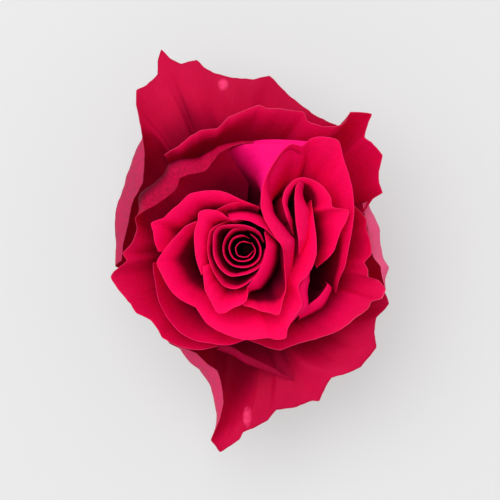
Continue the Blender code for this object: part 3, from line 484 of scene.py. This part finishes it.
def petal_material(settings):
    """Velvety petal: face and reverse colours by side, dulled by age, with veins, painted shade and a
    pale rim line of painted highlight.

    The petals carry their own map: U runs along the rim, V from root to rim. Their attributes say
    which face it is (side), how old the petal is (age), how far the rim is, in mm (inland), and how
    much painted shade it gets inland, in place of the shade of its neighbours (sunk). More
    painted shade darkens the colour the lower it lies under a dome over the flower.
    """
    material, s = new_material("petal_velvet")
    side = s.make("ShaderNodeAttribute", {"attribute_name": "side"}, None, 2)
    age = s.make("ShaderNodeAttribute", {"attribute_name": "age"}, None, 2)
    inland = s.make("ShaderNodeAttribute", {"attribute_name": "inland"}, None, 2)
    painted_shade_mask = s.make("ShaderNodeAttribute", {"attribute_name": "sunk"}, None, 2)
    place = s.make("ShaderNodeTexCoord", None, None, 3)
    own_map = s.make("ShaderNodeUVMap", {"uv_map": "UVMap"})
    fibres = s.make("ShaderNodeMapping", None, {"Vector": own_map, "Scale": (1.0, 0.12, 1.0)})

    x, y, z = (s.make("ShaderNodeSeparateXYZ", None, {"Vector": place}, k) for k in range(3))
    veins = s.noise(fibres, 150.0, 3.0, 0.6).step(0.40, 0.62)
    blotches = s.noise(place, 110.0, 3.0).step(0.35, 0.7)
    pile = s.noise(place, 2600.0, 2.0)

    face = age.tint(settings.fresh, settings.dull)
    clouds = s.noise(place, 48.0, 2.0).step(0.38, 0.62) * age
    shade = (veins * 0.12 + blotches * 0.14 + clouds * 0.3).tint(face, tuple(0.55 * c for c in settings.dull))
    withered = inland.step(0.1, 1.1, 1.0, 0.0) * age.step(0.6, 1.0) * (0.3 + blotches * 0.7)
    shade = (withered * 0.5).tint(shade, tuple(0.4 * c for c in settings.dull))
    # A pale line along the rim, wider where the rim is crinkled, stronger on older petals: a painted
    # highlight on the rim's edge
    crinkled = s.noise(place, 70.0, 2.0).step(0.5, 0.65) * age.step(0.25, 0.4) * age.step(0.4, 0.6, 1.0, 0.0)
    rim_highlight = (inland / (0.2 + crinkled * 0.45)).step(0.1, 1.0, 1.0, 0.0) * (0.4 + blotches * 0.6)
    face = (rim_highlight * age.step(0.1, 0.4, 0.12, 0.35)).tint(shade, settings.edge)
    for (x0, y0), (half_width, half_height) in PALE_SPOTS:
        away = ((x * 1000 - x0) / half_width) ** 2 + ((y * 1000 - y0) / half_height) ** 2
        away = away + (s.noise(place, 900.0, 2.0) - 0.5) * 1.6
        face = (away.step(-0.2, 1.3, 0.75, 0.0) * age.step(0.7, 0.85)).tint(face, settings.spot)
    dim = tuple(0.62 * c for c in settings.dull)
    back = s.make("ShaderNodeValToRGB", {"stops": [
        (0.05, settings.fresh), (0.15, settings.reverse), (0.3, dim), (0.68, dim),
        (0.75, settings.pale_reverse), (0.9, settings.old_reverse),
        (1.0, tuple(0.72 * c for c in settings.old_reverse))]}, {"Fac": age})
    back = (veins * 0.2 + blotches * 0.1).tint(back, settings.fresh)
    # Painted shade: the lower a point lies under a dome over the flower, the more its colour is darkened
    # towards the painted shade colour, less so on old petals. The next line darkens it further inland, as the
    # painted shade attribute says.
    span = (x * x + y * y) ** 0.5
    painted_depth_shade = (0.063 - span * span * 12.5 - z) / (0.005 + span * 0.2)
    colour = (painted_depth_shade.step(0.8, 2.6) * (0.9 - age * 0.6)).tint(side.tint(face, back), settings.deep)
    colour = painted_shade_mask.tint(colour, settings.deep)

    bump = s.make("ShaderNodeBump", None, {
        "Strength": 0.35, "Distance": 0.00012, "Height": veins * 0.6 + pile * 0.4})
    finish_material(s, {
        "Base Color": colour, "Roughness": 0.5 + blotches * 0.12, "Normal": bump,
        "Specular IOR Level": 0.04, "Subsurface Weight": 0.25, "Subsurface Scale": 0.002,
        "Subsurface Radius": (1.0, 0.1, 0.2)})
    return material


def green_material(name, settings):
    """Sepals and receptacle: mottled green with fine lines, a reddish tinge, pale down and a pale cut.

    The sepals' attributes say which face it is (side, 0 for the inner one) and how far the margin is,
    in mm (inland). The cut end of the stem is pale where z is near 0 and the axis is near.
    """
    material, s = new_material(name)
    side = s.make("ShaderNodeAttribute", {"attribute_name": "side"}, None, 2)
    inland = s.make("ShaderNodeAttribute", {"attribute_name": "inland"}, None, 2)
    place = s.make("ShaderNodeTexCoord", None, None, 3)
    x, y, z = (s.make("ShaderNodeSeparateXYZ", None, {"Vector": place}, k) for k in range(3))
    mottle = s.noise(place, 260.0, 3.0)
    lines = s.noise(s.make("ShaderNodeMapping", None, {"Vector": place, "Scale": (1.0, 1.0, 0.15)}),
                    1400.0, 2.0)
    green = (mottle.step(0.3, 0.75) * 0.5).tint(settings.green, tuple(0.55 * c for c in settings.green))
    green = (lines.step(0.45, 0.7) * 0.3).tint(green, settings.down)
    green = (s.noise(place, 70.0, 2.0).step(0.5, 0.75) * 0.45).tint(green, settings.blush)
    edge = inland.step(0.1, 0.8, 1.0, 0.0)
    downy = (edge * 0.6 + (1 - side) * inland.step(8.0, 12.0, 0.3, 0.0)) * (0.5 + lines * 0.5)
    cut = z.step(0.00005, 0.0003, 1.0, 0.0) * (x * x + y * y).step(8.0e-6, 9.6e-6, 1.0, 0.0)
    colour = (cut * 0.7).tint(downy.tint(green, settings.down), settings.down)
    bump = s.make("ShaderNodeBump", None, {
        "Strength": 0.4, "Distance": 0.0002, "Height": mottle * 0.5 + lines * 0.5})
    finish_material(s, {"Base Color": colour, "Roughness": 0.62, "Normal": bump,
                        "Specular IOR Level": 0.3})
    return material


def plain_material(name, colour, roughness, glow=0.0):
    """A finish with only a faint unevenness, which may shine with a light of its own."""
    material, s = new_material(name)
    place = s.make("ShaderNodeTexCoord", None, None, 3)
    cloud = s.noise(place, 6.0, 3.0)
    finish_material(s, {
        "Base Color": (cloud * 0.06).tint(tuple(colour), tuple(0.9 * c for c in colour)),
        "Roughness": roughness, "Emission Color": (1.0, 1.0, 1.0), "Emission Strength": glow})
    return material


def spline(points, per_segment=16, crisp=0.0):
    """A centripetal Catmull-Rom curve through the points, as many points on each stretch.

    It is mixed with straight lines between the points: crisp is the share of those.
    """
    points = np.asarray(points, float)
    points = np.vstack([2 * points[0] - points[1], points, 2 * points[-1] - points[-2]])
    knots = np.concatenate([[0.0], np.cumsum(np.linalg.norm(np.diff(points, axis=0), axis=1) ** 0.5)])
    p0, p1, p2, p3 = (points[i:len(points) - 3 + i, None] for i in range(4))
    t0, t1, t2, t3 = (knots[i:len(knots) - 3 + i, None, None] for i in range(4))
    t = t1 + (t2 - t1) * (np.arange(per_segment) / per_segment)[None, :, None]
    a1 = ((t1 - t) * p0 + (t - t0) * p1) / (t1 - t0)
    a2 = ((t2 - t) * p1 + (t - t1) * p2) / (t2 - t1)
    a3 = ((t3 - t) * p2 + (t - t2) * p3) / (t3 - t2)
    b1 = ((t2 - t) * a1 + (t - t0) * a2) / (t2 - t0)
    b2 = ((t3 - t) * a2 + (t - t1) * a3) / (t3 - t1)
    curve = ((t2 - t) * b1 + (t - t1) * b2) / (t2 - t1)
    curve += crisp * (p1 + (t - t1) / (t2 - t1) * (p2 - p1) - curve)
    return np.vstack([curve.reshape(-1, points.shape[1]), points[-2:-1]])


def share_along(points):
    """The share of a polyline's length at each of its points, from 0 to 1."""
    steps = np.linalg.norm(np.diff(points, axis=0), axis=1)
    return np.concatenate([[0.0], np.cumsum(steps)]) / steps.sum()


def stations(rows, share):
    """Values given at some shares of a rim, each row starting with its share, at all these shares."""
    places, *columns = np.asarray(rows, float).T
    return [np.interp(share, places, column) for column in columns]


def softened(values, width):
    """The values averaged over a window of this many places, with the ends kept level."""
    window = np.hanning(width + 2)[1:-1]
    padded = np.pad(values, width // 2, mode="edge")
    return np.convolve(padded, window / window.sum(), mode="valid")[:len(values)]


def nicks(share, length, depth, rng):
    """How far a rim stands out along its length: small points at uneven steps, with bays between."""
    steps = rng.uniform(1.8, 5.0, int(length / 1.8) + 3)
    marks = np.cumsum(steps) - rng.uniform(0.0, 4.0)
    here = share * length
    cell = np.clip(np.searchsorted(marks, here), 1, len(marks) - 1)
    within = (here - marks[cell - 1]) / (marks[cell] - marks[cell - 1])
    height = rng.uniform(0.3, 1.0, len(marks)) * depth
    near, far = height[cell - 1], height[cell]
    point = near * (1 - within).clip(0, 1) ** 2.2 + far * within.clip(0, 1) ** 2.2
    return point - 0.35 * depth


def ripple(share, low, high, rng):
    """A sum of sines along the rim, between low and high waves in all, of height about 1."""
    waves = rng.uniform(low, high, 5)
    turns = rng.uniform(0, 2 * np.pi, 5)
    return np.sin(2 * np.pi * share[:, None] * waves + turns).sum(axis=1) / 2.5


def petal_surface(petal, settings, rng):
    """The middle surface of a petal, in mm, as an array of (columns, rows, 3).

    Each column is a cubic curve from the root circle to the rim. It leaves the root at the belly's
    lean and reach, and arrives at the rim at the lip's. The rim is a spline through its points, with
    nicks, and soft waves run down from it and die out towards the root.
    """
    columns, rows = petal["grid"]
    line = spline(petal["rim"], crisp=petal["crisp"])
    share = np.linspace(0, 1, columns)
    rim = np.column_stack([np.interp(share, share_along(line), line[:, k]) for k in (0, 1)])
    length = np.linalg.norm(np.diff(line, axis=0), axis=1).sum()

    height, lean, reach = (softened(values, columns // 20) for values in stations(petal["lips"], share))
    lean = np.radians(lean)
    heart = petal["heart"]
    out = rim - (np.column_stack(stations(heart, share)) if isinstance(heart, list) else heart)
    out /= np.linalg.norm(out, axis=1)[:, None]
    flat = np.abs(np.sin(lean))
    notch = nicks(share, length, petal["ragged"] * settings.raggedness, rng)
    rim = rim + out * (notch * flat)[:, None]
    height = height + notch * (1 - flat) + 0.5 * petal["ragged"] * ripple(share, 3, 9, rng)

    end = np.column_stack([rim, height])
    arrive = np.column_stack([out * np.sin(lean)[:, None], np.cos(lean)]) * reach[:, None]
    angle = np.radians(petal["root"][0] + (petal["root"][1] - petal["root"][0]) * share)
    ray = np.column_stack([np.cos(angle), np.sin(angle)])
    radius, foot_height = petal["foot"]
    centre = np.asarray(petal.get("foot_centre", heart), float)
    start = np.column_stack([centre + ray * radius, np.full(columns, foot_height)])
    belly_lean, belly_reach = (softened(values, columns // 20) for values in stations(petal["belly"], share))
    belly_lean = np.radians(belly_lean)
    leave = np.column_stack([ray * np.sin(belly_lean)[:, None], np.cos(belly_lean)]) * belly_reach[:, None]

    t = (1 - (1 - np.linspace(0, 1, rows)) ** 1.3)[None, :, None]
    p1, p2 = (start + leave)[:, None], (end - arrive)[:, None]
    surface = ((1 - t) ** 3 * start[:, None] + 3 * (1 - t) ** 2 * t * p1
               + 3 * (1 - t) * t ** 2 * p2 + t ** 3 * end[:, None])

    wave = settings.wave / MM * min(1.0, length / 120.0) * (1.0 + 0.8 * petal["age"])
    v = t[..., 0]
    swell = v ** 1.5 * (ripple(share, 3, 8, rng)[:, None] * 0.7 + ripple(share, 9, 18, rng)[:, None] * 0.3)
    dimple = np.sin(2 * np.pi * (share[:, None] * rng.uniform(1, 3) + v * rng.uniform(0.8, 1.6))
                    + rng.uniform(0, 6)) * v * (1 - v) * 2.0
    surface += face_normals(surface) * ((swell + dimple) * wave * (1 - v ** 12))[..., None]
    return surface


def face_normals(surface):
    """Unit normals of a grid of points, on the side that looks into the flower."""
    across = np.gradient(surface, axis=0)
    up = np.gradient(surface, axis=1)
    normal = np.cross(across, up)
    return -normal / np.maximum(np.linalg.norm(normal, axis=2), 1e-9)[..., None]


def shell_mesh(name, surface, thickness, attributes):
    """A closed mesh of two skins, half the thickness to each side of the surface, joined all round.

    The inner skin is numbered first, then the outer one. UVMap holds the grid's own shares, and the
    attributes hold one value for each grid point, or one for each skin.
    """
    columns, rows = surface.shape[:2]
    lift = face_normals(surface) * (thickness / 2)[..., None]
    points = np.concatenate([(surface + lift).reshape(-1, 3), (surface - lift).reshape(-1, 3)]) * MM

    corner = np.arange(columns * rows).reshape(columns, rows)
    a, b = corner[:-1, :-1].ravel(), corner[1:, :-1].ravel()
    c, d = corner[1:, 1:].ravel(), corner[:-1, 1:].ravel()
    other = columns * rows
    inner = np.column_stack([a, d, c, b])
    outer = np.column_stack([a, b, c, d]) + other
    ring = np.concatenate([corner[:, 0], corner[-1, 1:], corner[-2::-1, -1], corner[0, -2:0:-1]])
    after = np.roll(ring, -1)
    sides = np.column_stack([ring, after, after + other, ring + other])
    faces = np.concatenate([inner, outer, sides])

    mesh = bpy.data.meshes.new(name)
    mesh.vertices.add(len(points))
    mesh.vertices.foreach_set("co", points.astype(np.float32).ravel())
    mesh.loops.add(faces.size)
    mesh.loops.foreach_set("vertex_index", faces.astype(np.int32).ravel())
    mesh.polygons.add(len(faces))
    mesh.polygons.foreach_set("loop_start", np.arange(0, faces.size, 4, dtype=np.int32))
    mesh.update(calc_edges=True)

    share = np.stack(np.meshgrid(np.linspace(0, 1, columns), np.linspace(0, 1, rows), indexing="ij"), -1)
    uv = np.tile(share.reshape(-1, 2), (2, 1))[faces.ravel()]
    mesh.uv_layers.new(name="UVMap").data.foreach_set("uv", uv.astype(np.float32).ravel())
    for key, (first, second) in attributes.items():
        both = np.concatenate([np.broadcast_to(value, (columns, rows)).ravel() for value in (first, second)])
        mesh.attributes.new(key, "FLOAT", "POINT").data.foreach_set("value", both.astype(np.float32))
    mesh.shade_smooth()
    return mesh


def add_piece(name, mesh, material, node):
    """An object at the origin that stands for part of a solid node."""
    mesh.materials.append(material)
    piece = bpy.data.objects.new(name, mesh)
    bpy.context.scene.collection.objects.link(piece)
    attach(piece, "root")
    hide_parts(node)
    return piece


def sunk(rows, inland):
    """Painted shade: how dark a face is painted inland, a smooth step at each column's depth, times its
    shade.
    """
    depth, shade = (column[:, None] for column in stations(rows, np.linspace(0, 1, len(inland))))
    step = np.clip((inland / depth - 0.6) / 0.8, 0, 1)
    return step * step * (3 - 2 * step) * shade


def add_petal(name, petal, seed):
    """One petal: its surface given thickness, thin at the rim and thick at the root."""
    settings = bpy.context.scene.rose_bloom
    material = bpy.data.materials.get("petal_velvet") or petal_material(settings)
    rng = np.random.default_rng(seed)
    surface = petal_surface(petal, settings, rng)
    steps = np.linalg.norm(np.diff(surface, axis=1), axis=2)
    inland = np.concatenate([np.cumsum(steps[:, ::-1], axis=1)[:, ::-1], np.zeros((len(surface), 1))], axis=1)
    thin, thick = settings.rim_thickness / MM, settings.root_thickness / MM
    thickness = thin + (thick - thin) * (inland / inland.max()) ** 1.5
    # Painted shade: the face and the back are darkened inland, as the petal's painted shade rows say
    mesh = shell_mesh(name, surface, thickness, {
        "side": (0.0, 1.0), "age": (petal["age"], petal["age"]), "inland": (inland, inland),
        "sunk": tuple(sunk(petal.get(key, [(0, 1, 0)]), inland) for key in ("painted_face_shade", "painted_back_shade"))})
    return add_piece(name, mesh, material, PETAL_NODE)


def add_petals(petals, first_seed):
    for i, (name, petal) in enumerate(petals.items()):
        add_petal("petal_" + name, petal, first_seed + i)


def swirl_petals():
    """The rolled middle: upright petals with narrow turned-out rims, each round the last one."""
    petals = {}
    for name, (height, width, turn) in SWIRL_TURNS.items():
        angle, radius = np.radians([t for t, _ in turn]), np.array([r for _, r in turn])
        rim = np.column_stack([SWIRL_CENTRE[0] + radius * np.cos(angle),
                               SWIRL_CENTRE[1] + radius * np.sin(angle)])
        petals[name] = dict(
            rim=rim, lips=[(0, height - 4, 20, width), (0.12, height, 75, width),
                           (0.85, height, 75, width), (1, height - 3, 20, width)],
            root=(turn[0][0], turn[-1][0]), foot=(0.5 * radius.mean(), 34.0), belly=[(0, 10, 14)],
            heart=SWIRL_CENTRE, painted_face_shade=SWIRL_SHADE, painted_back_shade=[(0, 2.6, 0.85)],
            age=0.0, ragged=0.05, crisp=0.0, grid=SWIRL_GRID)
    return petals


def turned_mesh(name, profile, columns, ribs=0.0):
    """A closed solid turned about the Z axis from a profile of (radius, height), first point on top.

    Its radius swells and shrinks by the share ribs, in five soft ribs. The ends of the profile lie on
    the axis, and the rings next to them are closed with triangles.
    """
    line = spline(profile, 5)[1:-1]
    angle = np.linspace(0, 2 * np.pi, columns, endpoint=False)
    swell = 1 + ribs * np.cos(5 * angle)[:, None] * np.sin(np.pi * np.linspace(0, 1, len(line)))
    rings = np.stack([np.cos(angle)[:, None] * line[:, 0] * swell,
                      np.sin(angle)[:, None] * line[:, 0] * swell,
                      np.tile(line[:, 1], (columns, 1))], axis=2)
    points = np.vstack([rings.reshape(-1, 3), [(0, 0, profile[0][1])], [(0, 0, profile[-1][1])]]) * MM
    corner = np.arange(columns * len(line)).reshape(columns, len(line))
    after = np.roll(corner, -1, axis=0)
    sides = np.column_stack([corner[:, :-1].ravel(), corner[:, 1:].ravel(),
                             after[:, 1:].ravel(), after[:, :-1].ravel()])
    top, bottom = len(points) - 2, len(points) - 1
    caps = [(top, a, b) for a, b in zip(corner[:, 0], after[:, 0])]
    caps += [(bottom, b, a) for a, b in zip(corner[:, -1], after[:, -1])]
    mesh = bpy.data.meshes.new(name)
    mesh.from_pydata(points.tolist(), [], sides.tolist() + caps)
    for key, value in (("side", 0.0), ("age", 0.0), ("inland", 30.0)):
        mesh.attributes.new(key, "FLOAT", "POINT").data.foreach_set("value", np.full(len(points), value))
    mesh.uv_layers.new(name="UVMap")
    mesh.shade_smooth()
    return mesh


def sepal_surface(turn, rng, columns=70, rows=31):
    """A sepal's middle surface, in mm: out from the receptacle, over, and down to a narrow point.

    Along it runs a cubic curve. Across it, its half width is a sine hump that narrows to a point, with
    a few small lobes on its sides. It is hollow along its midrib and its margins wave.
    """
    p0, p1, p2, p3 = (np.asarray(point, float) for point in SEPAL_CURVE)
    t = np.linspace(0, 1, columns)[:, None]
    path = (1 - t) ** 3 * p0 + 3 * (1 - t) ** 2 * t * p1 + 3 * (1 - t) * t ** 2 * p2 + t ** 3 * p3
    half = SEPAL_WIDTH / 2 * np.sin(np.pi * (0.22 + 0.765 * t)) ** 0.9
    lobes = 1 + 0.10 * np.maximum(0, np.sin(2 * np.pi * (t * rng.uniform(3.5, 4.5) + rng.uniform(0, 1)))) ** 3
    across = np.linspace(-1, 1, rows)
    side = half * lobes * across
    droop = 0.05 * side ** 2 * (1 - t) + 0.25 * np.sin(9 * t + 2 * across) * np.abs(across) ** 3 * (1 - t)
    height = path[:, 1:] + droop + 0.15 * (1 - np.exp(-(side / 0.5) ** 2)) * (1 - t)
    cos, sin = math.cos(turn), math.sin(turn)
    return np.dstack([path[:, :1] * cos - side * sin, path[:, :1] * sin + side * cos, height])


class ROSE_OT_guard_petals(bpy.types.Operator):
    """Builds the old guard petals that stand out round the flower"""
    bl_idname = "rose.guard_petals"
    bl_label = "Guard Petals"

    def execute(self, context):
        add_petals(GUARD_PETALS, 100)
        return {"FINISHED"}


class ROSE_OT_cup_petals(bpy.types.Operator):
    """Builds the broad petals of the cup"""
    bl_idname = "rose.cup_petals"
    bl_label = "Cup Petals"

    def execute(self, context):
        add_petals(CUP_PETALS, 200)
        return {"FINISHED"}


class ROSE_OT_inner_petals(bpy.types.Operator):
    """Builds the fresh petals inside the cup"""
    bl_idname = "rose.inner_petals"
    bl_label = "Inner Petals"

    def execute(self, context):
        add_petals(INNER_PETALS, 300)
        return {"FINISHED"}


class ROSE_OT_second_whorl(bpy.types.Operator):
    """Builds the second, smaller whorl beside the middle one"""
    bl_idname = "rose.second_whorl"
    bl_label = "Second Whorl"

    def execute(self, context):
        add_petals(SECOND_PETALS, 400)
        return {"FINISHED"}


class ROSE_OT_heart_petals(bpy.types.Operator):
    """Builds the petals round the middle, and the tight roll inside them"""
    bl_idname = "rose.heart_petals"
    bl_label = "Heart Petals"

    def execute(self, context):
        add_petals(HEART_PETALS, 500)
        add_petals(swirl_petals(), 600)
        return {"FINISHED"}


class ROSE_OT_bud_core(bpy.types.Operator):
    """Builds the small bud-shaped core that the petals stand out of"""
    bl_idname = "rose.bud_core"
    bl_label = "Bud Core"

    def execute(self, context):
        material = bpy.data.materials.get("petal_velvet") or petal_material(context.scene.rose_bloom)
        add_piece("bud_core", turned_mesh("bud_core", CORE_PROFILE, 64), material, PETAL_NODE)
        return {"FINISHED"}


class ROSE_OT_calyx(bpy.types.Operator):
    """Builds the receptacle with the cut stem, and the sepals that are turned down round it"""
    bl_idname = "rose.calyx"
    bl_label = "Calyx"

    def execute(self, context):
        green = green_material("sepal_green", context.scene.rose_calyx)
        add_piece("receptacle", turned_mesh("receptacle", CALYX_PROFILE, 96, 0.012), green,
                  CALYX_NODE)
        for i in range(SEPAL_COUNT):
            turn = math.radians(SEPAL_TURN + 360 / SEPAL_COUNT * i)
            surface = sepal_surface(turn, np.random.default_rng(700 + i))
            margin = np.minimum(*np.meshgrid(np.linspace(0, 1, surface.shape[0])[::-1] * 24,
                                             4 * (1 - np.abs(np.linspace(-1, 1, surface.shape[1]))),
                                             indexing="ij"))
            thickness = SEPAL_THICKNESS * (0.45 + 0.55 * np.clip(margin / 1.5, 0, 1))
            mesh = shell_mesh(f"sepal_{i + 1}", surface, thickness, {
                "side": (0.0, 1.0), "age": (0.0, 0.0), "inland": (margin, margin)})
            add_piece(f"sepal_{i + 1}", mesh, green, CALYX_NODE)
        return {"FINISHED"}


class ROSE_OT_stage(bpy.types.Operator):
    """Sets up the pale floor, the soft light and the camera straight above"""
    bl_idname = "rose.stage"
    bl_label = "Stage"

    def execute(self, context):
        settings = context.scene.rose_stage
        bpy.ops.mesh.primitive_plane_add(size=12.0)
        floor = context.object
        floor.name = "floor"
        floor.data.materials.append(
            plain_material("pale_floor", tuple(settings.floor), 0.9, settings.floor_glow))

        world = bpy.data.worlds.new("surround")
        context.scene.world = world
        world.use_nodes = True
        background = world.node_tree.nodes["Background"]
        background.inputs["Color"].default_value = (1.0, 1.0, 1.0, 1.0)
        background.inputs["Strength"].default_value = settings.sky

        lamp = bpy.data.lights.new("overhead_box", "AREA")
        lamp.shape, lamp.size, lamp.energy = "DISK", 1.2, settings.light
        overhead = bpy.data.objects.new("overhead_box", lamp)
        overhead.location = (-0.35, 0.35, 1.3)
        overhead.rotation_euler = (math.radians(-15), math.radians(-15), 0)
        context.scene.collection.objects.link(overhead)

        lens = bpy.data.cameras.new("camera")
        lens.sensor_width = 36.0
        lens.lens = lens.sensor_width * settings.camera_distance / settings.view_width
        lens.clip_end = 50.0
        camera = bpy.data.objects.new("camera", lens)
        camera.location = (0.0, 0.0, settings.camera_distance + 0.045)
        context.scene.collection.objects.link(camera)
        context.scene.camera = camera
        context.scene.view_settings.view_transform = "Standard"
        return {"FINISHED"}


class ROSE_PT_panel(bpy.types.Panel):
    """The rose's pieces and settings"""
    bl_idname = "ROSE_PT_panel"
    bl_label = "Rose Bloom"
    bl_space_type = "VIEW_3D"
    bl_region_type = "UI"
    bl_category = "Rose"

    def draw(self, context):
        for operator in OPERATORS:
            self.layout.operator(operator.bl_idname)
        for group in (context.scene.rose_bloom, context.scene.rose_calyx, context.scene.rose_stage):
            for name in group.bl_rna.properties.keys():
                if name not in ("name", "rna_type"):
                    self.layout.prop(group, name)


OPERATORS = (ROSE_OT_guard_petals, ROSE_OT_cup_petals, ROSE_OT_inner_petals, ROSE_OT_second_whorl,
             ROSE_OT_heart_petals, ROSE_OT_bud_core, ROSE_OT_calyx, ROSE_OT_stage)
CLASSES = (BloomSettings, CalyxSettings, StageSettings, *OPERATORS, ROSE_PT_panel)


def register():
    for cls in CLASSES:
        bpy.utils.register_class(cls)
    bpy.types.Scene.rose_bloom = bpy.props.PointerProperty(type=BloomSettings)
    bpy.types.Scene.rose_calyx = bpy.props.PointerProperty(type=CalyxSettings)
    bpy.types.Scene.rose_stage = bpy.props.PointerProperty(type=StageSettings)


def unregister():
    del bpy.types.Scene.rose_stage
    del bpy.types.Scene.rose_calyx
    del bpy.types.Scene.rose_bloom
    for cls in reversed(CLASSES):
        bpy.utils.unregister_class(cls)


def main():
    register()
    for operator in OPERATORS:
        group, name = operator.bl_idname.split(".")
        getattr(getattr(bpy.ops, group), name)()


if __name__ == "__main__":
    main()
